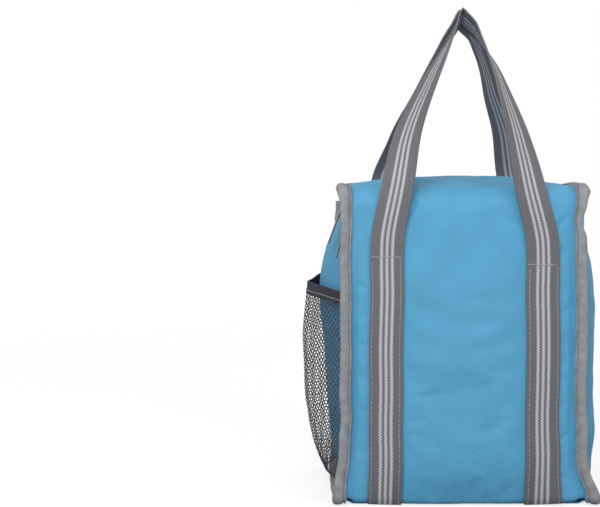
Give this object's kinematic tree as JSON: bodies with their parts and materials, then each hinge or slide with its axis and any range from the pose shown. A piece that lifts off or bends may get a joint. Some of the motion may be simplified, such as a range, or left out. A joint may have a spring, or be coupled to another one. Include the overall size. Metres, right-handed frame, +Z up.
{
  "type": "lunch bag",
  "caption": "Blue insulated lunch bag with a zipped lift-up lid, striped grey webbing handles, grey bound seams and a mesh bottle pocket",
  "frame": {"origin": "middle of the base on the surface that the bag stands on", "axes": "+Z up, the front panel faces -Y, the mesh pocket is on the -X side"},
  "size_m": [0.2806, 0.1816, 0.457],
  "materials": {
    "shell_fabric": "coated plain-weave polyester, satin",
    "binding_tape": "matt woven tape, folded over the seam",
    "webbing": "woven polypropylene with three pale chevron stripes",
    "pocket_net": "open hexagonal net",
    "rim_tape": "matt elastic tape",
    "zip_tape": "matt woven tape",
    "zip_teeth": "nylon",
    "nickel": "bright nickel plate",
    "foam": "closed-cell foam",
    "foil_liner": "silvered film",
    "board": "stiff sheet"
  },
  "bodies": {
    "bag_body": {"front_panel": "shell_fabric", "back_panel": "shell_fabric", "bottom_panel": "shell_fabric", "left_side_panel": "shell_fabric", "right_side_panel": "shell_fabric", "left_binding": "binding_tape", "right_binding": "binding_tape", "front_foam": "foam", "back_foam": "foam", "left_foam": "foam", "right_foam": "foam", "base_board": "board", "base_foam": "foam", "liner_tub": "foil_liner", "front_left_webbing": "webbing", "back_left_webbing": "webbing", "front_right_webbing": "webbing", "back_right_webbing": "webbing", "pocket_mesh": "pocket_net", "pocket_rim": "rim_tape", "body_zip_tape": "zip_tape", "body_zip_teeth": "zip_teeth", "left_zip_end_tape": "zip_tape", "left_zip_end_teeth": "zip_teeth", "right_zip_end_tape": "zip_tape", "right_zip_end_teeth": "zip_teeth"},
    "lid": {"lid_panel": "shell_fabric", "lid_foam": "foam", "lid_liner": "foil_liner", "lid_binding": "binding_tape", "lid_zip_tape": "zip_tape", "lid_zip_teeth": "zip_teeth"},
    "front_handle_loop": {"front_handle": "webbing"},
    "back_handle_loop": {"back_handle": "webbing"},
    "top_slider_body": {"top_slider": "nickel"},
    "top_pull": {"top_pull_ring": "nickel", "top_pull_tab": "nickel"},
    "end_slider_body": {"end_slider": "nickel"},
    "end_pull": {"end_pull_tab": "nickel"}
  },
  "joints": [
    {"name": "lid_open", "type": "hinge", "parent": "bag_body", "child": "lid", "pos_m": [0, -0.05685, 0.2935], "axis": [1, 0, 0], "range_deg": [0, 95]},
    {"name": "front_handle_drop", "type": "hinge", "parent": "bag_body", "child": "front_handle_loop", "pos_m": [0, -0.0847, 0.232], "axis": [1, 0, 0], "range_deg": [0, 142.5]},
    {"name": "back_handle_drop", "type": "hinge", "parent": "bag_body", "child": "back_handle_loop", "pos_m": [0, 0.0814, 0.232], "axis": [-1, 0, 0], "range_deg": [0, 142.5]},
    {"name": "top_slider_slide", "type": "slide", "parent": "bag_body", "child": "top_slider_body", "axis": [0, 1, 0], "range_m": [0, 0.095]},
    {"name": "top_pull_swing", "type": "hinge", "parent": "top_slider_body", "child": "top_pull", "pos_m": [-0.10691, -0.04, 0.279], "axis": [0, 1, 0], "range_deg": [0, 95]},
    {"name": "end_slider_slide", "type": "slide", "parent": "bag_body", "child": "end_slider_body", "axis": [0, 0, 1], "range_m": [-0.004, 0.004]},
    {"name": "end_pull_swing", "type": "hinge", "parent": "end_slider_body", "child": "end_pull", "pos_m": [-0.10371, -0.061, 0.266], "axis": [0, 1, 0], "range_deg": [0, 100]}
  ],
  "couplings": [
    {"joint": "front_handle_drop", "follows": "lid_open", "ratio": 1.5},
    {"joint": "back_handle_drop", "follows": "lid_open", "ratio": 1.5}
  ]
}
